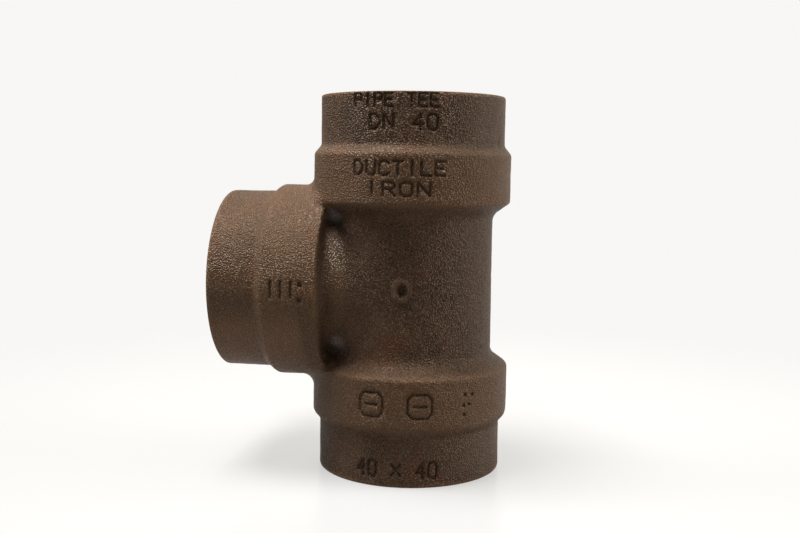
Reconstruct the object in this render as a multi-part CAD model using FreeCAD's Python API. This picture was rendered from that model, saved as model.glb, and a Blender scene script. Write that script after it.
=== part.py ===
import FreeCAD, Part
import math
import os

# A push-on tee for plain-end steel pipe of nominal size DN 40 (1 1/2 in). One ductile iron casting
# has three equal sockets. Each socket holds a ring gasket and a lock bolt that grips the pipe.
#
# Frame, in millimetres: the origin is the centre of the lower socket's mouth. The run stands along +Z,
# the branch points along -X, and the lock bolts stand out along +Y.
#
# Everything in a socket is drawn once, as in the lower socket: the face at z = 0, the axis along +Z
# into the fitting, the lock bolt on the +Y side. It is then turned about the +Y direction through the
# point where the three axes cross.

# Driving dimensions of the fitting
CENTRE_TO_END = 63.5
SOCKET_TURNS = {"run_lower": 0, "run_upper": 180, "branch": 90}

# Outside of the casting; depths run from a socket's face along its axis
RUN_END_RADIUS = 31.2
RUN_COLLAR_RADIUS = 33.6
RUN_BODY_RADIUS = 27.8
RUN_DEPTHS = {"end": 16.4, "collar": 19.7, "collar_back": 35.6, "body": 39.5}
BRANCH_END_RADIUS = 30.8
BRANCH_COLLAR_RADIUS = 33.2
BRANCH_BODY_RADIUS = 27.5
BRANCH_DEPTHS = {"end": 15.9, "collar": 18.9, "collar_back": 37.0, "body": 38.3}
RIM_ROUND = 0.4
STEP_ROUND = 1.0
COLLAR_ROUND = 0.9
BODY_ROUND = 1.0

# Inside of the casting
BORE_RADIUS = 24.5
MOUTH_CHAMFER = 0.8
GROOVE_START = 21.0
GROOVE_END = 31.0
GROOVE_RADIUS = 29.0
STOP_DEPTH = 36.0
RUN_WATERWAY_RADIUS = 21.0
BRANCH_WATERWAY_RADIUS = 20.6

# Bosses for the lock bolts
BOLT_DEPTH = 9.5
BOSS_RADIUS = 8.5
BOSS_FACE = 38.0
BOSS_ROOT = 27.0
BOSS_ROUND = 0.8

# Ring gasket, a C section that opens towards the pipe
GASKET_GAP = 0.05
GASKET_INNER_RADIUS = 24.8
GASKET_CHANNEL_RADIUS = 27.4
GASKET_LIP_GAP = 3.2
GASKET_CHANNEL_WIDTH = 5.6

# Lock bolt, 3/8 in
BOLT_RADIUS = 4.76
BOLT_HOLE_CLEARANCE = 0.05
BOLT_TIP_RADIUS = 3.6
BOLT_TIP_CHAMFER = 1.4
BOLT_TIP_REST = 25.0
BOLT_HEAD_REST_GAP = 5.3
FLANGE_RADIUS = 9.0
FLANGE_EDGE = 1.2
FLANGE_HEIGHT = 2.2
HEX_ACROSS_FLATS = 14.3
HEX_HEIGHT = 6.4
HEX_CORNER_CUT = 1.0

V = FreeCAD.Vector
ORIGIN = V(0, 0, 0)
AXIS_X = V(1, 0, 0)
AXIS_Y = V(0, 1, 0)
AXIS_Z = V(0, 0, 1)
CROSSING = V(0, 0, CENTRE_TO_END)


def rounded_outline(corners):
    """A closed wire in the XZ plane. Each corner is (x, z, radius of the arc that rounds it)."""
    points = [V(x, 0, z) for x, z, _ in corners]
    ends = []
    edges = []
    for i, (_, _, radius) in enumerate(corners):
        here = points[i]
        to_last = (points[i - 1] - here).normalize()
        to_next = (points[(i + 1) % len(points)] - here).normalize()
        if radius == 0:
            ends.append((here, here))
            continue
        half_angle = to_last.getAngle(to_next) / 2
        reach = radius / math.tan(half_angle)
        inwards = (to_last + to_next).normalize()
        middle = here + inwards * (radius / math.sin(half_angle) - radius)
        start = here + to_last * reach
        finish = here + to_next * reach
        ends.append((start, finish))
        edges.append(Part.Arc(start, middle, finish).toShape())
    for i, (_, finish) in enumerate(ends):
        start_of_next = ends[(i + 1) % len(ends)][0]
        edges.append(Part.LineSegment(finish, start_of_next).toShape())
    return Part.Wire(Part.__sortEdges__(edges))


def turned(corners):
    """The solid that an outline of (radius, z, rounding) corners sweeps around the Z axis."""
    return Part.Face(rounded_outline(corners)).revolve(ORIGIN, AXIS_Z, 360)


def at_socket(shape, turn):
    """A copy of a shape drawn in the lower socket, turned to another socket."""
    copy = shape.copy()
    copy.rotate(CROSSING, AXIS_Y, turn)
    return copy


def arm_outside(end_radius, collar_radius, body_radius, depths):
    """One arm of the tee without its hollow, from the socket's face to where the axes cross."""
    return turned([
        (0, 0, 0),
        (end_radius, 0, RIM_ROUND),
        (end_radius, depths["end"], STEP_ROUND),
        (collar_radius, depths["collar"], COLLAR_ROUND),
        (collar_radius, depths["collar_back"], COLLAR_ROUND),
        (body_radius, depths["body"], BODY_ROUND),
        (body_radius, CENTRE_TO_END, 0),
        (0, CENTRE_TO_END, 0),
    ])


def socket_hollow():
    """The room inside a socket: chamfered mouth, bore, gasket groove and pipe stop."""
    mouth_radius = BORE_RADIUS + MOUTH_CHAMFER
    bore = turned([
        (0, -1, 0),
        (mouth_radius + 1, -1, 0),
        (BORE_RADIUS, MOUTH_CHAMFER, 0),
        (BORE_RADIUS, STOP_DEPTH, 0),
        (0, STOP_DEPTH, 0),
    ])
    groove = Part.makeCylinder(GROOVE_RADIUS, GROOVE_END - GROOVE_START, V(0, 0, GROOVE_START))
    return bore.fuse(groove)


def waterway(radius):
    """The passage behind a socket's pipe stop, up to where the axes cross."""
    start = STOP_DEPTH - 1
    return Part.makeCylinder(radius, CENTRE_TO_END - start, V(0, 0, start))


def bolt_boss():
    """The round boss that a lock bolt is screwed through, with a softened outer edge."""
    boss = Part.makeCylinder(BOSS_RADIUS, BOSS_FACE - BOSS_ROOT, V(0, BOSS_ROOT, BOLT_DEPTH), AXIS_Y)
    outer_edges = [e for e in boss.Edges if e.CenterOfMass.y > BOSS_FACE - 0.01]
    return boss.makeFillet(BOSS_ROUND, outer_edges)


def bolt_hole():
    """The hole through a boss into the bore."""
    radius = BOLT_RADIUS + BOLT_HOLE_CLEARANCE
    return Part.makeCylinder(radius, BOSS_FACE, V(0, 0, BOLT_DEPTH), AXIS_Y)


def tee_body():
    """The casting."""
    run_arm = arm_outside(RUN_END_RADIUS, RUN_COLLAR_RADIUS, RUN_BODY_RADIUS, RUN_DEPTHS)
    branch_arm = arm_outside(BRANCH_END_RADIUS, BRANCH_COLLAR_RADIUS, BRANCH_BODY_RADIUS, BRANCH_DEPTHS)
    arms = {name: branch_arm if name == "branch" else run_arm for name in SOCKET_TURNS}
    outside = [at_socket(arms[name], turn) for name, turn in SOCKET_TURNS.items()]
    outside += [at_socket(bolt_boss(), turn) for turn in SOCKET_TURNS.values()]
    solid = outside[0].multiFuse(outside[1:]).removeSplitter()
    hollows = []
    for name, turn in SOCKET_TURNS.items():
        radius = BRANCH_WATERWAY_RADIUS if name == "branch" else RUN_WATERWAY_RADIUS
        hollows.append(at_socket(socket_hollow(), turn))
        hollows.append(at_socket(waterway(radius), turn))
        hollows.append(at_socket(bolt_hole(), turn))
    return solid.cut(hollows).removeSplitter()


def gasket():
    """The rubber ring in a socket's groove: a C section whose two lips face the pipe."""
    outer_radius = GROOVE_RADIUS - GASKET_GAP
    start = GROOVE_START + GASKET_GAP
    end = GROOVE_END - GASKET_GAP
    middle = (start + end) / 2
    return turned([
        (GASKET_INNER_RADIUS, start, 0),
        (outer_radius, start, 0.5),
        (outer_radius, end, 0.5),
        (GASKET_INNER_RADIUS, end, 0),
        (GASKET_INNER_RADIUS, middle + GASKET_LIP_GAP / 2, 0.4),
        (GASKET_CHANNEL_RADIUS, middle + GASKET_CHANNEL_WIDTH / 2, 0.6),
        (GASKET_CHANNEL_RADIUS, middle - GASKET_CHANNEL_WIDTH / 2, 0.6),
        (GASKET_INNER_RADIUS, middle - GASKET_LIP_GAP / 2, 0.4),
    ])


def lock_bolt():
    """A flanged hexagon bolt with a cup point, drawn along +Z from its tip, then laid along +Y."""
    shank_length = BOSS_FACE + BOLT_HEAD_REST_GAP - BOLT_TIP_REST
    flange_top = shank_length + FLANGE_HEIGHT
    top = flange_top + HEX_HEIGHT
    round_part = turned([
        (0, 1.0, 0),
        (BOLT_TIP_RADIUS, 0, 0),
        (BOLT_RADIUS, BOLT_TIP_CHAMFER, 0),
        (BOLT_RADIUS, shank_length, 0),
        (FLANGE_RADIUS, shank_length, 0),
        (FLANGE_RADIUS, shank_length + FLANGE_EDGE, 0),
        (HEX_ACROSS_FLATS / 2, flange_top, 0),
        (0, flange_top, 0),
    ])
    corner_radius = HEX_ACROSS_FLATS / math.sqrt(3)
    corners = [
        V(corner_radius * math.cos(math.radians(60 * i)), corner_radius * math.sin(math.radians(60 * i)), 0)
        for i in range(7)
    ]
    prism = Part.Face(Part.makePolygon(corners)).extrude(V(0, 0, top - shank_length - FLANGE_EDGE))
    prism.translate(V(0, 0, shank_length + FLANGE_EDGE))
    corner_cutter = turned([
        (0, shank_length, 0),
        (corner_radius + 1, shank_length, 0),
        (corner_radius + 1, top - HEX_CORNER_CUT, 0),
        (HEX_ACROSS_FLATS / 2 - HEX_CORNER_CUT, top, 0),
        (0, top, 0),
    ])
    bolt = round_part.fuse(prism.common(corner_cutter)).removeSplitter()
    bolt.rotate(ORIGIN, AXIS_X, -90)
    bolt.translate(V(0, BOLT_TIP_REST, BOLT_DEPTH))
    return bolt


def write_part(name, shape):
    """Save one closed solid as parts/NAME.step."""
    solid = shape.Solids[0]
    if len(shape.Solids) != 1 or not solid.isValid():
        raise ValueError(f"{name} is not one valid solid")
    solid.exportStep(f"parts/{name}.step")
    print(f"{name}: {solid.Volume / 1000:.1f} cm3")


os.makedirs("parts", exist_ok=True)
write_part("tee_body", tee_body())
for name, turn in SOCKET_TURNS.items():
    write_part(f"gasket_{name}", at_socket(gasket(), turn))
    write_part(f"lock_bolt_{name}", at_socket(lock_bolt(), turn))
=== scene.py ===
import math

import bmesh
import bpy
import numpy as np
from mathutils import Euler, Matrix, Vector


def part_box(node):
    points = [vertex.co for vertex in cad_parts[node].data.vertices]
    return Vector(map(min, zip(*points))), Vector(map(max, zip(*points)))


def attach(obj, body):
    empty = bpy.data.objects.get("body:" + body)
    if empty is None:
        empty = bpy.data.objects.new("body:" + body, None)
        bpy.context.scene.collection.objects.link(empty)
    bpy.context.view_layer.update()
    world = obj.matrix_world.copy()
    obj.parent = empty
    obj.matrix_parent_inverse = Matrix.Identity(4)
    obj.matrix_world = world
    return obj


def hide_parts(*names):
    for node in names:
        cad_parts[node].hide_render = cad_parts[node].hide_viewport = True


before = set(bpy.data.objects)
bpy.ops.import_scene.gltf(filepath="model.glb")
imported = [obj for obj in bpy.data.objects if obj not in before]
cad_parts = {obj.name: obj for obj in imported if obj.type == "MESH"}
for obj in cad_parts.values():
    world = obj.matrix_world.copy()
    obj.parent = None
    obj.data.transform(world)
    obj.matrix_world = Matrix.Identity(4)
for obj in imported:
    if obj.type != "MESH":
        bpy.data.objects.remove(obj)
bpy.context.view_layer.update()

# A push-on tee for DN 40 pipe: a sand-cast iron body, three rubber ring gaskets and three lock bolts.
# Blender works in metres. The shape of the casting is worked out in millimetres, as a distance to its
# surface, and is scaled by MM when it becomes a mesh.
MM = 0.001

# ---------------------------------------------------------------- sizes, from the frame where it has them
body_low, body_high = (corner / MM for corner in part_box("tee_body"))
CENTRE_TO_END = -body_low.x
CROSSING_Z = body_high.z / 2
BOSS_FACE = body_high.y
RUN_COLLAR_RADIUS = body_high.x
RUN_END_RADIUS = 31.2
RUN_BODY_RADIUS = 27.8
BRANCH_COLLAR_RADIUS = 33.2
BRANCH_END_RADIUS = 30.8
BRANCH_BODY_RADIUS = 27.5
BORE_RADIUS = 24.5
MOUTH_CHAMFER = 0.9
GROOVE_RADIUS = 29.0
STOP_DEPTH = 36.0
WATERWAY_RADIUS = 21.0

# Depths from a socket's face: (front foot, front edge, back edge, back foot) of the collar
RUN_COLLAR = (16.6, 19.4, 35.6, 39.8)
BRANCH_COLLAR = (16.0, 18.7, 37.1, 38.2)

# Rounding of the casting's corners
RIM_ROUND = 0.5
EDGE_ROUND = 0.5
FRONT_FOOT_ROUND = 0.45
BACK_FOOT_ROUND = 1.6
JUNCTION_ROUND = 3.8
RECESS_ROUND = 2.6
FLUSH_ROUND = 0.5
BOSS_BASE_ROUND = 2.2

# The recess between the branch's collar and a run collar: where its corner is, and how much fills it.
RECESS_X = -(CENTRE_TO_END - BRANCH_COLLAR[3])
RECESS_UP = CENTRE_TO_END - RUN_COLLAR[3]
RECESS_FILL = 0.8
FILL_INSET = 0.3

bolt_low, bolt_high = (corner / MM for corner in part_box("lock_bolt_run_lower"))
BOLT_DEPTH = (bolt_low.z + bolt_high.z) / 2
BOLT_TIP_REST = bolt_low.y
BOLT_LENGTH = bolt_high.y - bolt_low.y
BOLT_HOLE_RADIUS = 4.85
BOSS_RADIUS = 8.5

gasket_low, gasket_high = (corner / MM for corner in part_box("gasket_run_lower"))
GROOVE_START = gasket_low.z
GROOVE_END = gasket_high.z

# The sockets share one drawing, made in the lower one and turned about the +Y direction
SOCKET_TURNS = {"run_lower": 0, "run_upper": 180, "branch": 90}


# ---------------------------------------------------------------- camera
CAMERA_DISTANCE = 0.3460
CAMERA_HEIGHT = 0.1045
CAMERA_ASIDE = -0.0039
CAMERA_TURN = math.radians(8.8)
CAMERA_PITCH = math.radians(5.88)
CAMERA_ROLL = math.radians(0.74)
CAMERA_LENS = 45.1


def make_camera():
    """The photograph's view: a little above the middle of the fitting, turned round its branch."""
    data = bpy.data.cameras.new("camera")
    data.lens = CAMERA_LENS
    data.sensor_width = 36.0
    data.clip_start = 0.01
    camera = bpy.data.objects.new("camera", data)
    bpy.context.scene.collection.objects.link(camera)
    turn = Euler((0, 0, CAMERA_TURN)).to_matrix()
    tilt = Euler((math.pi / 2 - CAMERA_PITCH, 0, 0)).to_matrix()
    roll = Euler((0, 0, CAMERA_ROLL)).to_matrix()
    camera.matrix_world = (turn @ tilt @ roll).to_4x4()
    camera.location = turn @ Vector((CAMERA_ASIDE, -CAMERA_DISTANCE, CAMERA_HEIGHT))
    bpy.context.scene.camera = camera


# ---------------------------------------------------------------- distances that the casting is made of
def step(low, high, value):
    """0 below low, 1 above high, and a smooth climb between them."""
    t = np.clip((value - low) / (high - low), 0, 1)
    return t * t * (3 - 2 * t)


def joined(a, b, radius):
    """The union of two distances, with a fillet of that radius where they meet."""
    near = np.hypot(np.maximum(radius - a, 0), np.maximum(radius - b, 0))
    return np.maximum(radius, np.minimum(a, b)) - near


def common(a, b, radius):
    """Where both are inside, with the edge between them rounded to that radius."""
    return -joined(-a, -b, radius)


def slope(r, s, foot, edge):
    """Distance from a cone through two (radius, depth) points, positive on the side away from the axis."""
    run, rise = edge[1] - foot[1], edge[0] - foot[0]
    length = math.hypot(run, rise)
    side = 1 if run > 0 else -1
    return side * ((r - foot[0]) * run - (s - foot[1]) * rise) / length


def arm(r, s, end_radius, collar_radius, body_radius, collar):
    """Outside of one arm, by the distance r from its axis and the depth s from its face."""
    front_foot, front_edge, back_edge, back_foot = collar
    front = slope(r, s, (end_radius, front_foot), (collar_radius, front_edge))
    back = slope(r, s, (body_radius, back_foot), (collar_radius, back_edge))
    ring = common(common(r - collar_radius, front, EDGE_ROUND), back, EDGE_ROUND)
    end = common(r - end_radius, s - back_edge, EDGE_ROUND)
    body = common(r - body_radius, front_edge - s, EDGE_ROUND)
    return joined(joined(end, ring, FRONT_FOOT_ROUND), body, BACK_FOOT_ROUND)


def boss(x, y, z):
    """The boss for the lock bolt of a socket whose bolt axis runs through (x, z)."""
    round_side = np.hypot(x, z) - BOSS_RADIUS
    return common(common(round_side, y - BOSS_FACE, 0.8), BORE_RADIUS + 1 - y, 0)


def with_recess_fill(outside, x, up, run_r, branch_r):
    """Adds iron across the corners of the recess, flush with both collars and filleted deeper down."""
    across = (x - RECESS_X + RECESS_UP - np.abs(up) - RECESS_FILL) / math.sqrt(2)
    sides = np.maximum(run_r - RUN_COLLAR_RADIUS, branch_r - BRANCH_COLLAR_RADIUS)
    fill = common(sides + FILL_INSET, across, EDGE_ROUND)
    return joined(outside, fill, FILL_INSET + (RECESS_ROUND - FILL_INSET) * step(1, 4, -sides))


def hollow(r, s):
    """The room inside a socket and the waterway behind it."""
    bore = np.maximum(r - BORE_RADIUS, s - STOP_DEPTH)
    mouth = (r + s - BORE_RADIUS - MOUTH_CHAMFER) / math.sqrt(2)
    mouth = np.maximum(mouth, s - 3)
    middle = (GROOVE_START + GROOVE_END) / 2
    half_width = (GROOVE_END - GROOVE_START) / 2
    groove = common(r - GROOVE_RADIUS, np.abs(s - middle) - half_width, 0.5)
    waterway = r - WATERWAY_RADIUS
    return np.minimum(joined(joined(bore, groove, 0.3), waterway, 0.8), mouth)


def casting(p):
    """Distance of points p, in millimetres, from the surface of the casting; negative in the iron."""
    x, y, z = p.T
    up = z - CROSSING_Z
    run_r, run_s = np.hypot(x, y), CENTRE_TO_END - np.abs(up)
    branch_r, branch_s = np.hypot(y, up), CENTRE_TO_END + x
    run = arm(run_r, run_s, RUN_END_RADIUS, RUN_COLLAR_RADIUS, RUN_BODY_RADIUS, RUN_COLLAR)
    branch_radii = BRANCH_END_RADIUS, BRANCH_COLLAR_RADIUS, BRANCH_BODY_RADIUS
    branch = arm(branch_r, branch_s, *branch_radii, BRANCH_COLLAR)
    branch = common(branch, x, 1.0)
    fillet = FLUSH_ROUND + (RECESS_ROUND - FLUSH_ROUND) * step(4, 14, -x)
    fillet = fillet + (JUNCTION_ROUND - RECESS_ROUND) * step(25.3, 28.3, (np.abs(up) - x) / 2)
    outside = with_recess_fill(joined(run, branch, fillet), x, up, run_r, branch_r)
    outside = joined(outside, boss(x, y, run_s - BOLT_DEPTH), BOSS_BASE_ROUND)
    outside = joined(outside, boss(branch_s - BOLT_DEPTH, y, up), BOSS_BASE_ROUND)
    outside = common(common(outside, -run_s, RIM_ROUND), -branch_s, RIM_ROUND)
    branch_hollow = np.maximum(hollow(branch_r, branch_s), x)
    inside = joined(hollow(run_r, run_s), branch_hollow, 0.8)
    solid = common(outside, -inside, 0.4)
    from_bolt = np.minimum(np.hypot(x, run_s - BOLT_DEPTH), np.hypot(branch_s - BOLT_DEPTH, up))
    holes = np.maximum(from_bolt - BOLT_HOLE_RADIUS, BORE_RADIUS / 2 - y)
    return common(solid, -holes, 0.5)


# ---------------------------------------------------------------- marks sunk in the casting
# Generic marks, drawn as strokes on a grid 4 wide and 6 high: each letter is a list of polylines.
LETTERS = {
    "C": ["45 36 16 05 01 10 30 41"],
    "D": ["00 06 26 44 42 20 00"],
    "E": ["40 00 06 46", "03 33"],
    "I": ["20 26"],
    "L": ["06 00 40"],
    "N": ["00 06 40 46"],
    "O": ["10 01 05 16 36 45 41 30 10"],
    "P": ["00 06 36 45 44 33 03"],
    "R": ["00 06 36 45 44 33 03", "23 40"],
    "T": ["20 26", "06 46"],
    "U": ["06 01 10 30 41 46"],
    "X": ["01 45", "05 41"],
    "0": ["10 01 05 16 36 45 41 30 10"],
    "4": ["30 36 02 42"],
}
GRID_WIDTH = 4
GRID_HEIGHT = 6
LETTER_GAP = 1.9
STROKE_HALF_WIDTH = 0.25
STROKE_EDGE = 0.30
STROKE_DEPTH = 0.5
MARK_AREA_MARGIN = 1.2
MARK_RIM_START = 0.2
MARK_RIM_END = 0.6


def written(text, middle, bottom, width, height):
    """Strokes of a word, centred on `middle` along the first axis and standing on `bottom`."""
    unit_x = width / (len(text) * (GRID_WIDTH + LETTER_GAP) - LETTER_GAP)
    unit_y = height / GRID_HEIGHT
    strokes = []
    for i, letter in enumerate(text):
        left = middle - width / 2 + i * (GRID_WIDTH + LETTER_GAP) * unit_x
        for line in LETTERS.get(letter, []):
            points = [(left + int(c[0]) * unit_x, bottom + int(c[1]) * unit_y) for c in line.split()]
            strokes += list(zip(points, points[1:]))
    return strokes


def closed(points):
    """Strokes round a closed polygon."""
    return list(zip(points, points[1:] + points[:1]))


def framed(u, v, half):
    """A generic mark: a small eight-sided frame with a bar in it."""
    corner = half * 0.6
    outline = closed([
        (u - half, v - corner), (u - half, v + corner), (u - corner, v + half), (u + corner, v + half),
        (u + half, v + corner), (u + half, v - corner), (u + corner, v - half), (u - corner, v - half),
    ])
    return outline + [((u - half / 2, v), (u + half / 2, v))]


def dot(u, v, half=0.15):
    """A small dimple."""
    return closed([(u - half, v - half), (u + half, v - half), (u + half, v + half), (u - half, v + half)])


def run_marks():
    """Marks on the front of the run; u runs round the surface, v up the run."""
    top = CENTRE_TO_END * 2
    end_marks = written("PIPE TEE", -1.5, top - 4.8, 27.5, 4.2)
    end_marks += written("DN 40", 1.3, top - 11.9, 21.5, 4.7)
    collar_marks = written("DUCTILE", 0.2, top - 26.2, 29.5, 4.4)
    collar_marks += written("IRON", 0.1, top - 32.6, 20.5, 4.2)
    collar_marks += framed(-7.8, 27.6, 3.9) + framed(8.2, 27.4, 3.9)
    for u, v in ((23.6, 30.5), (26.6, 30.4), (25.2, 27.3), (23.2, 27.0), (23.4, 24.0)):
        collar_marks += dot(u, v)
    low_marks = written("40 X 40", 0.3, 3.3, 26.5, 5.2)
    return end_marks + collar_marks + low_marks


def branch_marks():
    """Marks on the front of the branch; u runs out along the branch, v round its surface."""
    bars = []
    for u in (-41.1, -37.8, -34.3):
        bars.append(((u, -2.4), (u, 2.8)))
    return bars + dot(-31.3, 2.0, 0.35) + dot(-31.5, -3.0, 0.35)


def stroke_distance(u, v, strokes):
    """Distance from each (u, v) to the nearest stroke."""
    nearest = np.full(len(u), 1e3)
    for (u0, v0), (u1, v1) in strokes:
        du, dv = u1 - u0, v1 - v0
        along = np.clip(((u - u0) * du + (v - v0) * dv) / (du * du + dv * dv), 0, 1)
        nearest = np.minimum(nearest, np.hypot(u - u0 - along * du, v - v0 - along * dv))
    return nearest


def mark_distance(p):
    """Distance along the surface from each point to the nearest mark; large on surfaces with none.

    It grows towards a rim, so that no mark runs out onto the rim's flat face.
    """
    x, y, z = p.T
    up = z - CROSSING_Z
    run_r, branch_r = np.hypot(x, y), np.hypot(y, up)
    nearest = np.full(len(p), 1e3)
    on_run = (y < -12) & (run_r > RUN_BODY_RADIUS + 1) & (np.abs(up) > CENTRE_TO_END - RUN_COLLAR[2])
    on_branch = (y < -25) & (x < -29) & (branch_r > BRANCH_BODY_RADIUS) & ~on_run
    if on_run.any():
        u = run_r[on_run] * np.arctan2(x[on_run], -y[on_run])
        depth = CENTRE_TO_END - np.abs(up[on_run])
        rim = 1 - step(MARK_RIM_START, MARK_RIM_END, depth)
        nearest[on_run] = stroke_distance(u, z[on_run], run_marks()) + rim
    if on_branch.any():
        v = branch_r[on_branch] * np.arctan2(up[on_branch], -y[on_branch])
        nearest[on_branch] = stroke_distance(x[on_branch], v, branch_marks())
    return nearest


# ---------------------------------------------------------------- roughness of the sand mould
def lattice(i, j, k, seed):
    """A repeatable random number from 0 to 1 for each whole-number corner of a lattice."""
    mixed = (i * 73856093) ^ (j * 19349663) ^ (k * 83492791) ^ (seed * 2654435761)
    mixed = (mixed ^ (mixed >> 13)) * 1274126177
    return ((mixed ^ (mixed >> 16)) & 0xFFFF) / 0xFFFF


def noise(p, size, seed):
    """Smooth noise from -1 to 1 whose bumps are about `size` millimetres across."""
    scaled = p / size + 512.0
    cell = np.floor(scaled).astype(np.int64)
    t = scaled - cell
    t = t * t * (3 - 2 * t)
    total = np.zeros(len(p))
    for di in (0, 1):
        for dj in (0, 1):
            for dk in (0, 1):
                weight = np.where(di, t[:, 0], 1 - t[:, 0])
                weight = weight * np.where(dj, t[:, 1], 1 - t[:, 1])
                weight = weight * np.where(dk, t[:, 2], 1 - t[:, 2])
                total += weight * lattice(cell[:, 0] + di, cell[:, 1] + dj, cell[:, 2] + dk, seed)
    return total * 2 - 1


MOUTH_ROUGHNESS = 0.15
PAD_X = 0.7
PAD_UP = 0.3
PAD_RADIUS = 3.5
PAD_HEIGHT = 0.7
PAD_HOLLOW = 1.3


def cast_height(p):
    """How far the sand-cast skin stands above its drawn shape, in millimetres."""
    height = 0.13 * noise(p, 14.0, 1) + 0.06 * noise(p, 5.0, 2)
    height += 0.025 * noise(p, 1.9, 3) + 0.03 * noise(p, 0.8, 4)
    pits = np.clip(noise(p, 2.3, 5) - 0.72, 0, 1)
    from_mouth = np.minimum(np.minimum(p[:, 2], 2 * CROSSING_Z - p[:, 2]), p[:, 0] + CENTRE_TO_END)
    rough = MOUTH_ROUGHNESS + (1 - MOUTH_ROUGHNESS) * step(0.1, 1.0, from_mouth)
    return rough * (height - 0.9 * pits) + gate_pad(p)


def gate_pad(p):
    """A plain raised pad with a hollow in it, on the front of the body."""
    x, y, z = p.T
    from_pad = np.hypot(x - PAD_X, (z - CROSSING_Z - PAD_UP) * 0.8)
    from_hollow = np.hypot(x - PAD_X - 0.5, (z - CROSSING_Z - PAD_UP) * 0.7)
    pad = PAD_HEIGHT * (1 - step(PAD_RADIUS - 0.6, PAD_RADIUS, from_pad))
    pad -= PAD_HOLLOW * (1 - step(0.8, 2.0, from_hollow))
    return np.where(y < -RUN_BODY_RADIUS / 2, pad, 0)


# ---------------------------------------------------------------- the casting's mesh
FINE_VOXEL = 0.36 * MM
FINE_FACES = 192000
GRADIENT_STEP = 0.02
# Strokes along which the recess's upper and lower corners are painted dark as shade.
UPPER_POCKET = [((0.5, -3.0), (5.0, -4.5)), ((5.0, -4.5), (8.5, -7.0))]
LOWER_POCKET = [((0.5, -3.5), (2.5, -0.5)), ((2.5, -0.5), (7.5, -1.5))]
# Stroke where a painted highlight of pale grains lies on the flank below the upper recess corner.
FLANK_HIGHLIGHT = [((3.0, -8.8), (4.2, -14.5))]
CREST_WEAR = 0.4


def gradient(p, distance):
    """Direction away from the surface at each point."""
    here = distance(p)
    slopes = []
    for axis in np.eye(3) * GRADIENT_STEP:
        slopes.append(distance(p + axis) - here)
    g = np.stack(slopes, axis=1) / GRADIENT_STEP
    return here, g


def settle(p, rounds):
    """Move points onto the casting's surface."""
    for _ in range(rounds):
        here, g = gradient(p, casting)
        steepness = np.maximum((g * g).sum(axis=1), 0.2)
        move = np.clip(here / steepness, -0.5, 0.5)
        p = p - g * move[:, None]
    return p


def unit_normals(p):
    """Outward unit normals of the casting's surface."""
    g = gradient(p, casting)[1]
    return g / np.linalg.norm(g, axis=1, keepdims=True)


def vertices_of(mesh):
    """A mesh's vertices as an array, in millimetres."""
    flat = np.empty(len(mesh.vertices) * 3)
    mesh.vertices.foreach_get("co", flat)
    return flat.reshape(-1, 3) / MM


def set_vertices(mesh, p):
    """Put a mesh's vertices at points given in millimetres."""
    mesh.vertices.foreach_set("co", (p * MM).astype(np.float32).ravel())
    mesh.update()


def apply_modifier(obj, kind, **settings):
    """Add a modifier, keep its result as the object's mesh, and drop the modifier."""
    modifier = obj.modifiers.new(kind.lower(), kind)
    for name, value in settings.items():
        setattr(modifier, name, value)
    evaluated = obj.evaluated_get(bpy.context.evaluated_depsgraph_get())
    mesh = bpy.data.meshes.new_from_object(evaluated)
    obj.modifiers.clear()
    old = obj.data
    obj.data = mesh
    bpy.data.meshes.remove(old)


def refine_marks(obj):
    """Divide the faces around the sunk marks, so that their strokes have room to be sharp."""
    near = mark_distance(vertices_of(obj.data)) < MARK_AREA_MARGIN
    edited = bmesh.new()
    edited.from_mesh(obj.data)
    edited.verts.ensure_lookup_table()
    edges = [e for e in edited.edges if near[e.verts[0].index] and near[e.verts[1].index]]
    bmesh.ops.subdivide_edges(edited, edges=edges, cuts=1, use_grid_fill=True)
    edited.to_mesh(obj.data)
    edited.free()


def new_object(name, mesh):
    """Link a mesh into the scene as an object."""
    obj = bpy.data.objects.new(name, mesh)
    bpy.context.scene.collection.objects.link(obj)
    return obj


def recess_masks(p, run_r, branch_r):
    """Painted shade in the recess's corners and along its wall, a painted lit grey spot in each corner and a
    painted highlight of pale grains on the flank below the upper one.
    """
    x, y, z = p.T
    across = x - RECESS_X
    below = np.abs(z - CROSSING_Z) - RECESS_UP
    upper = z > CROSSING_Z
    recessed = (branch_r < BRANCH_COLLAR_RADIUS - 1.5) & (across > -1.2) & (run_r > 24)
    # Painted shade: darkest along the pocket strokes in the recess's corners.
    from_pocket = np.where(
        upper, stroke_distance(across, below, UPPER_POCKET), stroke_distance(across, below, LOWER_POCKET))
    # Painted light: a grey spot in each recess corner, where the hollow catches light.
    from_spot = np.where(upper, np.hypot(across - 2.2, below + 0.3), np.hypot(across - 3.6, below + 5.5))
    # Painted highlight: pale grains on the flank below the upper recess corner.
    from_flank_highlight = np.where(upper, stroke_distance(across, below, FLANK_HIGHLIGHT), 5)
    # A strip along the recess's wall, painted dark as shade with the pockets.
    wall = step(-6, -1, -across) * (1 - step(-1, 2, below))
    return {
        "painted_pocket_shade": np.where(recessed, np.maximum(1 - step(0.6, 4.2, from_pocket), 0.5 * wall), 0),
        "corner": np.where(recessed, np.where(upper, 1, 0.6) * (1 - step(0.2, 3.4, from_spot)), 0),
        "painted_flank_highlight": np.where(y < 0, 1 - step(1.0, 4.2, from_flank_highlight), 0),
    }


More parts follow.
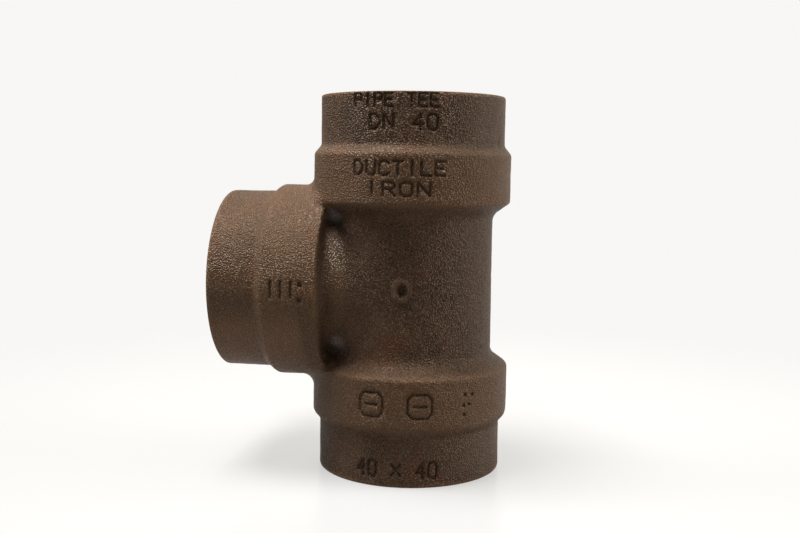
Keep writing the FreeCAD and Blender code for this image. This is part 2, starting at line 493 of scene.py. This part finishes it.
def worn_edges(p, on_branch):
    """Where the casting stands out and is rubbed bright: outward bends, collar crests and the pad."""
    normals = unit_normals(p)
    outer_side = casting(p + normals * 1.2) - 1.2
    inner_side = casting(p - normals * 1.2) + 1.2
    edge = np.clip((inner_side - outer_side) * 2.2, 0, 1)
    edge = np.maximum(edge, 0.6 * np.clip(gate_pad(p) / PAD_HEIGHT, 0, 1))
    run_depth = CENTRE_TO_END - np.abs(p[:, 2] - CROSSING_Z)
    depth = np.where(on_branch > 0.5, p[:, 0] + CENTRE_TO_END, run_depth)
    crest = np.where(on_branch > 0.5, 1 - step(0.1, 0.8, np.abs(depth - BRANCH_COLLAR[1])), 0)
    for collar_edge in RUN_COLLAR[1:3]:
        crest = np.maximum(crest, (on_branch < 0.5) * (1 - step(0.1, 0.8, np.abs(depth - collar_edge))))
    return np.maximum(edge, CREST_WEAR * crest)


def paint_masks(mesh):
    """Store on each vertex how far each kind of colour applies there, for the material."""
    p = vertices_of(mesh)
    x, y, z = p.T
    run_r, branch_r = np.hypot(x, y), np.hypot(y, z - CROSSING_Z)
    on_branch = step(30, 33, -x)
    on_run_surface = step(31.3, 33.2, run_r) * (1 - on_branch)
    masks = recess_masks(p, run_r, branch_r)
    masks["edge"] = worn_edges(p, on_branch)
    # Sunk letters are darkened by dirt and painted shade; the pad's hollow is darkened as a painted shadow.
    sunk = 1 - step(STROKE_HALF_WIDTH, STROKE_HALF_WIDTH + STROKE_EDGE, mark_distance(p))
    masks["marks"] = np.maximum(sunk, np.clip(-gate_pad(p) / PAD_HEIGHT, 0, 1))
    masks["inside"] = step(0.5, 2.0, BORE_RADIUS + 2.5 - np.minimum(run_r, branch_r))
    masks["exposed"] = np.maximum(on_run_surface, step(28, 33, branch_r) * on_branch)
    # Lighter towards the bottom of the branch: partly rust, partly painted bounce light from the floor.
    masks["rust_and_painted_bounce"] = on_branch * step(2, 16, CROSSING_Z - z)
    for name, values in masks.items():
        layer = mesh.attributes.new(name, "FLOAT", "POINT")
        layer.data.foreach_set("value", values.astype(np.float32))


def make_casting():
    """The sand-cast body: an even mesh drawn onto the distance above, roughened, with its marks sunk in."""
    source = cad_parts["tee_body"].data.copy()
    merged = bmesh.new()
    merged.from_mesh(source)
    bmesh.ops.remove_doubles(merged, verts=merged.verts, dist=0.001 * MM)
    merged.to_mesh(source)
    merged.free()
    body = new_object("tee_body_casting", source)
    body.data.materials.clear()
    apply_modifier(body, "REMESH", mode="VOXEL", voxel_size=FINE_VOXEL)
    set_vertices(body.data, settle(vertices_of(body.data), 5))
    refine_marks(body)
    p = settle(vertices_of(body.data), 2)
    normals = unit_normals(p)
    sunk = STROKE_DEPTH * (1 - step(STROKE_HALF_WIDTH, STROKE_HALF_WIDTH + STROKE_EDGE, mark_distance(p)))
    p = p + normals * (cast_height(p) - sunk)[:, None]
    set_vertices(body.data, p)
    limit = FINE_FACES
    triangles = sum(len(face.vertices) - 2 for face in body.data.polygons)
    apply_modifier(body, "DECIMATE", ratio=min(1.0, limit / triangles))
    body.data.shade_smooth()
    paint_masks(body.data)
    return body


# ---------------------------------------------------------------- pieces turned on a lathe
def lathe(name, rings, segments):
    """A closed surface of revolution around +Z. Each ring is (z, radius or a function of the angle)."""
    angles = [2 * math.pi * i / segments for i in range(segments)]
    points, faces = [], []
    for z, radius in rings:
        for angle in angles:
            r = radius(angle) if callable(radius) else radius
            points.append((r * math.cos(angle) * MM, r * math.sin(angle) * MM, z * MM))
    for k in range(len(rings) - 1):
        for i in range(segments):
            j = (i + 1) % segments
            low, high = k * segments, (k + 1) * segments
            faces.append((low + i, low + j, high + j, high + i))
    faces.append(tuple(reversed(range(segments))))
    faces.append(tuple((len(rings) - 1) * segments + i for i in range(segments)))
    mesh = bpy.data.meshes.new(name)
    mesh.from_pydata(points, [], faces)
    return new_object(name, mesh)


def at_socket(obj, turn):
    """Turn an object drawn in the lower socket to another socket, in its vertices."""
    centre = Vector((0, 0, CROSSING_Z * MM))
    rotation = Euler((0, math.radians(turn), 0)).to_matrix()
    for vertex in obj.data.vertices:
        vertex.co = rotation @ (vertex.co - centre) + centre
    obj.data.update()
    return obj


# ---------------------------------------------------------------- gaskets
GASKET_LIP_RADIUS = 23.7
GASKET_SEGMENTS = 192


def make_gasket(name, turn):
    """A moulded rubber ring in its groove: two soft lips lean over a channel that opens to the pipe."""
    outer = GROOVE_RADIUS - 0.1
    middle = (GROOVE_START + GROOVE_END) / 2
    half = (GROOVE_END - GROOVE_START) / 2 - 0.05
    lip = GASKET_LIP_RADIUS
    # (radius, distance from the ring's middle) down one side, from the channel's root to the outside
    side = [
        (27.3, 0.6), (27.0, 1.7), (26.2, 2.3), (25.2, 2.2), (24.4, 1.6), (23.95, 1.2),
        (lip, 1.3), (lip + 0.05, 1.75), (24.0, 2.2), (24.35, 2.9), (24.62, 3.7),
        (24.75, half - 0.5), (25.0, half - 0.1), (25.6, half),
        (outer - 0.8, half), (outer - 0.2, half - 0.25), (outer, half - 0.9), (outer, 1.2),
    ]
    outline = [(r, middle + d) for r, d in side] + [(r, middle - d) for r, d in reversed(side)]
    points, faces = [], []
    for i in range(GASKET_SEGMENTS):
        angle = 2 * math.pi * i / GASKET_SEGMENTS
        points += [(r * math.cos(angle) * MM, r * math.sin(angle) * MM, z * MM) for r, z in outline]
    count = len(outline)
    for i in range(GASKET_SEGMENTS):
        here, there = i * count, (i + 1) % GASKET_SEGMENTS * count
        for k in range(count):
            m = (k + 1) % count
            faces.append((here + k, here + m, there + m, there + k))
    mesh = bpy.data.meshes.new(name)
    mesh.from_pydata(points, [], faces)
    ring = at_socket(new_object(name, mesh), turn)
    ring.data.shade_smooth()
    return ring


# ---------------------------------------------------------------- lock bolts
BOLT_RADIUS = 4.76
THREAD_PITCH = 1.5875
THREAD_DEPTH = 0.82
THREAD_STEPS = 8
THREAD_RUNOUT = 1.6
FLANGE_RADIUS = 9.0
FLANGE_HEIGHT = 2.2
HEX_ACROSS_FLATS = 14.3
HEX_CHAMFER = 1.1
BOLT_SEGMENTS = 96


def hexagon(limit):
    """Radius of a hexagon with soft corners by angle, cut back to a circle of radius `limit`."""
    def radius(angle):
        turned = (angle + math.pi / 6) % (math.pi / 3) - math.pi / 6
        return min(HEX_ACROSS_FLATS / 2 / math.cos(turned), limit)
    return radius


def thread(z, low, high):
    """Radius of the threaded shank at height z by angle, running out smoothly at both ends."""
    fade = min(1, max(0, (z - low) / THREAD_RUNOUT)) * min(1, max(0, (high - z) / THREAD_RUNOUT))

    def radius(angle):
        phase = (z / THREAD_PITCH - angle / (2 * math.pi)) % 1
        groove = min(1, max(0, 1.25 - abs(phase * 2 - 1) * 1.5))
        return BOLT_RADIUS - THREAD_DEPTH * groove * fade
    return radius


def make_bolt(name, turn):
    """A flanged hexagon bolt with a cup point and a rolled thread, lying along +Y in its boss."""
    shank = BOLT_LENGTH - FLANGE_HEIGHT - 6.4
    top = BOLT_LENGTH
    thread_low, thread_high = 1.2, shank - 0.6
    corner = HEX_ACROSS_FLATS / math.sqrt(3)
    rings = [(1.0, 0.4), (0.7, 2.0), (0.0, 3.1), (0.0, 3.6), (0.5, 4.2), (1.2, BOLT_RADIUS)]
    steps = int((thread_high - thread_low) / THREAD_PITCH * THREAD_STEPS)
    for i in range(1, steps):
        z = thread_low + (thread_high - thread_low) * i / steps
        rings.append((z, thread(z, thread_low, thread_high)))
    rings += [(thread_high, BOLT_RADIUS), (shank - 0.1, BOLT_RADIUS), (shank, BOLT_RADIUS + 0.2)]
    for height, inset in ((0, 0.4), (0.15, 0.1), (0.5, 0), (0.95, 0.05), (1.25, 0.35)):
        rings.append((shank + height, FLANGE_RADIUS - inset))
    head = shank + FLANGE_HEIGHT
    rings += [(head - 0.15, hexagon(7.9)), (head + 0.3, hexagon(corner - 0.15))]
    for i in range(7):
        share = i / 6
        z = top - HEX_CHAMFER * (1 - share)
        rings.append((z, hexagon(corner - 0.15 - 1.15 * share ** 1.5)))
    rings += [(top, 6.2), (top - 0.12, 5.7), (top - 0.15, 0.5)]
    bolt = lathe(name, rings, BOLT_SEGMENTS)
    lay = Euler((-math.pi / 2, 0, 0)).to_matrix()
    for vertex in bolt.data.vertices:
        vertex.co = lay @ vertex.co + Vector((0, BOLT_TIP_REST * MM, BOLT_DEPTH * MM))
    at_socket(bolt, turn)
    bolt.data.shade_smooth()
    sharpen(bolt)
    return bolt


def sharpen(obj, angle=math.radians(28)):
    """Keep edges sharper than the angle crisp under smooth shading."""
    obj.data.set_sharp_from_angle(angle=angle)


# ---------------------------------------------------------------- materials
class Nodes:
    """Short names for building a node material."""

    def __init__(self, name):
        self.material = bpy.data.materials.new(name)
        self.material.use_nodes = True
        self.tree = self.material.node_tree
        self.shader = self.tree.nodes["Principled BSDF"]

    def add(self, kind, **settings):
        """Add a node with its settings."""
        node = self.tree.nodes.new(kind)
        for name, value in settings.items():
            setattr(node, name, value)
        return node

    def link(self, source, target):
        """Join an output to an input."""
        self.tree.links.new(source, target)

    def set(self, name, value):
        """Set a constant on the shader's own socket."""
        self.shader.inputs[name].default_value = value

    def place(self):
        """A point's place on the object, in metres."""
        return self.add("ShaderNodeTexCoord").outputs["Object"]

    def noise(self, scale, detail=4.0, roughness=0.6, distortion=0.0):
        """Soft noise, with `scale` bumps to a metre."""
        node = self.add("ShaderNodeTexNoise")
        node.inputs["Scale"].default_value = scale
        node.inputs["Detail"].default_value = detail
        node.inputs["Roughness"].default_value = roughness
        node.inputs["Distortion"].default_value = distortion
        self.link(self.place(), node.inputs["Vector"])
        return node.outputs["Fac"]

    def grains(self, scale):
        """Rounded grains packed side by side: 1 at a grain's middle, 0 between grains."""
        node = self.add("ShaderNodeTexVoronoi", feature="F1")
        node.inputs["Scale"].default_value = scale
        self.link(self.place(), node.inputs["Vector"])
        return self.between(node.outputs["Distance"], 0.0, 0.75, 1.0, 0.0)

    def ramp(self, value, *stops):
        """Colours along a value: each stop is (position, (r, g, b))."""
        node = self.add("ShaderNodeValToRGB")
        elements = node.color_ramp.elements
        while len(elements) < len(stops):
            elements.new(0.5)
        for element, (position, colour) in zip(elements, stops):
            element.position = position
            element.color = (*colour, 1)
        self.link(value, node.inputs["Fac"])
        return node.outputs["Color"]

    def between(self, value, low, high, to_low=0.0, to_high=1.0):
        """A value's smooth climb from to_low at `low` to to_high at `high`."""
        node = self.add("ShaderNodeMapRange", interpolation_type="SMOOTHSTEP")
        span = (low, high, to_low, to_high)
        for name, number in zip(("From Min", "From Max", "To Min", "To Max"), span):
            node.inputs[name].default_value = number
        self.link(value, node.inputs["Value"])
        return node.outputs["Result"]

    def maths(self, operation, a, b):
        """One step of arithmetic on numbers or outputs."""
        node = self.add("ShaderNodeMath", operation=operation)
        for socket, value in zip(node.inputs, (a, b)):
            if isinstance(value, (int, float)):
                socket.default_value = value
            else:
                self.link(value, socket)
        return node.outputs["Value"]

    def mix(self, share, a, b):
        """Colour a, with a share of colour b mixed in."""
        node = self.add("ShaderNodeMix", data_type="RGBA")
        for name, value in ((0, share), (6, a), (7, b)):
            socket = node.inputs[name]
            if isinstance(value, (int, float)):
                socket.default_value = value
            elif isinstance(value, tuple):
                socket.default_value = (*value, 1)
            else:
                self.link(value, socket)
        return node.outputs[2]

    def mask(self, name):
        """A mask stored on the mesh by paint_masks."""
        return self.add("ShaderNodeAttribute", attribute_name=name).outputs["Fac"]

    def bump(self, *layers):
        """Bumps of (height, distance in metres), one over the other."""
        last = None
        for height, distance in layers:
            node = self.add("ShaderNodeBump")
            node.inputs["Distance"].default_value = distance
            self.link(height, node.inputs["Height"])
            if last is not None:
                self.link(last, node.inputs["Normal"])
            last = node.outputs["Normal"]
        self.link(last, self.shader.inputs["Normal"])


def oxide_colour(m, patches):
    """Mottled brown oxide with reddish and greyish patches."""
    broad = m.noise(38, detail=5, roughness=0.62, distortion=0.6)
    dark, middle, light = (0.026, 0.014, 0.010), (0.047, 0.025, 0.016), (0.078, 0.043, 0.025)
    brown = m.ramp(broad, (0.32, dark), (0.50, middle), (0.68, light))
    colour = m.mix(m.between(patches, 0.52, 0.68, 0.0, 0.6), brown, (0.085, 0.026, 0.014))
    cloud = m.noise(60, detail=5, roughness=0.7, distortion=1.0)
    return m.mix(m.between(cloud, 0.50, 0.66, 0.0, 0.6), colour, (0.056, 0.042, 0.030))


def masked(m, colour, name, share, other):
    """Mix in another colour by a mask, up to a share of it."""
    return m.mix(m.maths("MULTIPLY", m.mask(name), share), colour, other)


def casting_material():
    """Oxide on sand-cast iron, with worn crests, rust with painted bounce light under the branch, painted
    shade in the recess's pockets and sunk marks, painted light spots and highlights in the recess, and
    grains that catch the light.
    """
    m = Nodes("sand_cast_iron")
    patches = m.noise(90, detail=6, roughness=0.7, distortion=0.4)
    grain = m.grains(1700)
    speckle = m.noise(1900, detail=2, roughness=0.6)
    colour = masked(m, oxide_colour(m, patches), "exposed", 0.45, (0.118, 0.064, 0.034))
    wear = m.maths("ADD", m.mask("edge"), m.maths("MULTIPLY", patches, 0.5))
    colour = m.mix(m.between(wear, 0.45, 1.1, 0.0, 0.5), colour, (0.160, 0.088, 0.046))
    # The branch's underside is lightened: partly rust, partly painted bounce light from the floor.
    colour = masked(m, colour, "rust_and_painted_bounce", 0.45, (0.20, 0.112, 0.066))
    # Painted shade: the recess's corners and the strip along its wall are darkened.
    colour = masked(m, colour, "painted_pocket_shade", 0.4, (0.018, 0.018, 0.020))
    # Painted light: a pale, grainy grey spot in each recess corner, where the hollow catches light.
    colour = masked(m, colour, "corner", m.between(grain, 0.30, 0.85, 0.45, 1.0), (0.40, 0.40, 0.39))
    colour = masked(m, colour, "inside", 0.55, (0.025, 0.018, 0.014))
    # Sunk letters darkened by dirt and painted shade; the pad's hollow darkened as a painted shadow.
    colour = masked(m, colour, "marks", 0.6, (0.010, 0.007, 0.006))
    colour = m.mix(m.between(speckle, 0.42, 0.62, 0.0, 0.4), colour, (0.140, 0.086, 0.052))
    # Painted highlight: pale grains on the flank below the upper recess corner.
    colour = masked(m, colour, "painted_flank_highlight", m.between(grain, 0.45, 0.85, 0.0, 0.75), (0.46, 0.44, 0.40))
    m.link(colour, m.shader.inputs["Base Color"])
    m.link(m.between(speckle, 0.40, 0.60, 0.24, 0.54), m.shader.inputs["Roughness"])
    m.link(m.between(grain, 0.40, 0.85, 0.15, 1.0), m.shader.inputs["Specular IOR Level"])
    m.set("Specular Tint", (1.0, 0.76, 0.52, 1.0))
    m.bump((grain, 0.00026), (speckle, 0.00012))
    return m.material


def rubber_material():
    """Black moulded rubber with a faint bloom."""
    m = Nodes("moulded_rubber")
    bloom = m.noise(120, detail=5, roughness=0.7)
    fine = m.noise(3000, detail=2)
    black = m.ramp(bloom, (0.35, (0.010, 0.010, 0.011)), (0.75, (0.028, 0.027, 0.027)))
    m.link(black, m.shader.inputs["Base Color"])
    m.link(m.between(bloom, 0.3, 0.8, 0.42, 0.66), m.shader.inputs["Roughness"])
    m.set("Specular IOR Level", 0.4)
    m.bump((fine, 0.00005))
    return m.material


def bolt_material():
    """Zinc-plated steel, dulled and finely brushed by handling."""
    m = Nodes("zinc_plated_steel")
    tone = m.noise(220, detail=5, roughness=0.7)
    scratches = m.noise(1400, detail=3, distortion=1.5)
    stain = m.between(m.noise(70, detail=6, roughness=0.75), 0.55, 0.75, 0.0, 0.6)
    zinc = m.ramp(tone, (0.3, (0.21, 0.205, 0.195)), (0.7, (0.36, 0.35, 0.32)))
    m.link(m.mix(stain, zinc, (0.20, 0.135, 0.075)), m.shader.inputs["Base Color"])
    m.link(m.between(scratches, 0.3, 0.7, 0.30, 0.55), m.shader.inputs["Roughness"])
    m.set("Metallic", 1.0)
    m.bump((scratches, 0.00004))
    return m.material


# ---------------------------------------------------------------- floor and light
FLOOR_RADIUS = 0.4
FLOOR_GLOW = 0.52
FLOOR_BOUNCE = 0.25  # share of the glow that also lights the fitting
FLOOR_FADE_START = 0.10
FLOOR_FADE_END = 0.34
BACKGROUND = (0.935, 0.928, 0.912)
ROOM_FRONT = 0.16
ROOM_BACK = 0.65
BRIGHT_SIDE = (0.75, 0.66, 0.0)


def make_floor():
    """A pale, slightly glossy studio floor that melts into the background."""
    bpy.ops.mesh.primitive_circle_add(vertices=96, radius=FLOOR_RADIUS, fill_type="NGON", location=(0, 0, 0))
    floor = bpy.context.object
    floor.name = "studio_floor"
    m = Nodes("pale_floor")
    pale = m.ramp(m.noise(3, detail=2), (0.3, (0.19, 0.188, 0.185)), (0.7, (0.20, 0.198, 0.195)))
    m.link(pale, m.shader.inputs["Base Color"])
    m.set("Roughness", 0.25)
    m.set("Specular IOR Level", 0.35)
    m.set("Emission Color", (1.0, 0.99, 0.975, 1.0))
    seen = m.add("ShaderNodeLightPath").outputs["Is Camera Ray"]
    glow = m.between(seen, 0, 1, FLOOR_BOUNCE * FLOOR_GLOW, FLOOR_GLOW)
    m.link(glow, m.shader.inputs["Emission Strength"])
    distance = m.add("ShaderNodeVectorMath", operation="LENGTH")
    m.link(m.place(), distance.inputs[0])
    fade = m.between(distance.outputs["Value"], FLOOR_FADE_START, FLOOR_FADE_END, 1.0, 0.0)
    m.link(fade, m.shader.inputs["Alpha"])
    floor.data.materials.append(m.material)


def make_world():
    """A plain studio: a white sweep behind the fitting and a dim room in front of it."""
    world = bpy.data.worlds.new("studio")
    bpy.context.scene.world = world
    world.use_nodes = True
    tree = world.node_tree
    coordinates = tree.nodes.new("ShaderNodeTexCoord")
    behind = tree.nodes.new("ShaderNodeVectorMath")
    behind.operation = "DOT_PRODUCT"
    behind.inputs[1].default_value = BRIGHT_SIDE
    tree.links.new(coordinates.outputs["Generated"], behind.inputs[0])
    room = tree.nodes.new("ShaderNodeMapRange")
    span = (-0.1, 0.6, ROOM_FRONT, ROOM_BACK)
    for name, number in zip(("From Min", "From Max", "To Min", "To Max"), span):
        room.inputs[name].default_value = number
    tree.links.new(behind.outputs["Value"], room.inputs["Value"])
    lit = tree.nodes["Background"]
    lit.inputs["Color"].default_value = (1, 0.94, 0.84, 1)
    tree.links.new(room.outputs["Result"], lit.inputs["Strength"])
    seen = tree.nodes.new("ShaderNodeBackground")
    seen.inputs["Color"].default_value = (*BACKGROUND, 1)
    path = tree.nodes.new("ShaderNodeLightPath")
    mix = tree.nodes.new("ShaderNodeMixShader")
    tree.links.new(path.outputs["Is Camera Ray"], mix.inputs["Fac"])
    tree.links.new(lit.outputs["Background"], mix.inputs[1])
    tree.links.new(seen.outputs["Background"], mix.inputs[2])
    tree.links.new(mix.outputs["Shader"], tree.nodes["World Output"].inputs["Surface"])


def make_light(name, place, size, power, aim):
    """A soft square light that faces a point."""
    data = bpy.data.lights.new(name, "AREA")
    data.shape = "SQUARE"
    data.size = size
    data.energy = power
    light = bpy.data.objects.new(name, data)
    bpy.context.scene.collection.objects.link(light)
    light.location = place
    light.rotation_euler = (Vector(aim) - Vector(place)).to_track_quat("-Z", "Y").to_euler()


def light_studio():
    """Four soft lights: a strong one overhead, weaker ones at both sides and a faint one low in front."""
    aim = (0, 0, CROSSING_Z * MM)
    make_light("overhead", (-0.22, -0.10, 1.05), 0.45, 20, aim)
    make_light("left", (-0.85, 0.0, 0.70), 0.4, 6.5, aim)
    make_light("fill", (-0.65, -0.60, 0.10), 0.6, 1.0, aim)
    make_light("right", (0.85, 0.12, 0.45), 0.5, 7, aim)


# ---------------------------------------------------------------- the scene
def finish_piece(piece, node, body, material):
    """Give a piece its material, hang it under its body's empty and hide the CAD part that it stands for."""
    piece.data.materials.clear()
    piece.data.materials.append(material)
    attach(piece, body)
    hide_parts(node)


make_camera()
bpy.context.scene.view_settings.view_transform = "Standard"
make_world()
make_floor()
light_studio()

finish_piece(make_casting(), "tee_body", "fitting", casting_material())
rubber = rubber_material()
zinc = bolt_material()
for socket, turn in SOCKET_TURNS.items():
    gasket = make_gasket(f"{socket}_gasket_ring", turn)
    finish_piece(gasket, f"gasket_{socket}", "fitting", rubber)
    bolt = make_bolt(f"{socket}_lock_bolt", turn)
    finish_piece(bolt, f"lock_bolt_{socket}", f"bolt_{socket}", zinc)
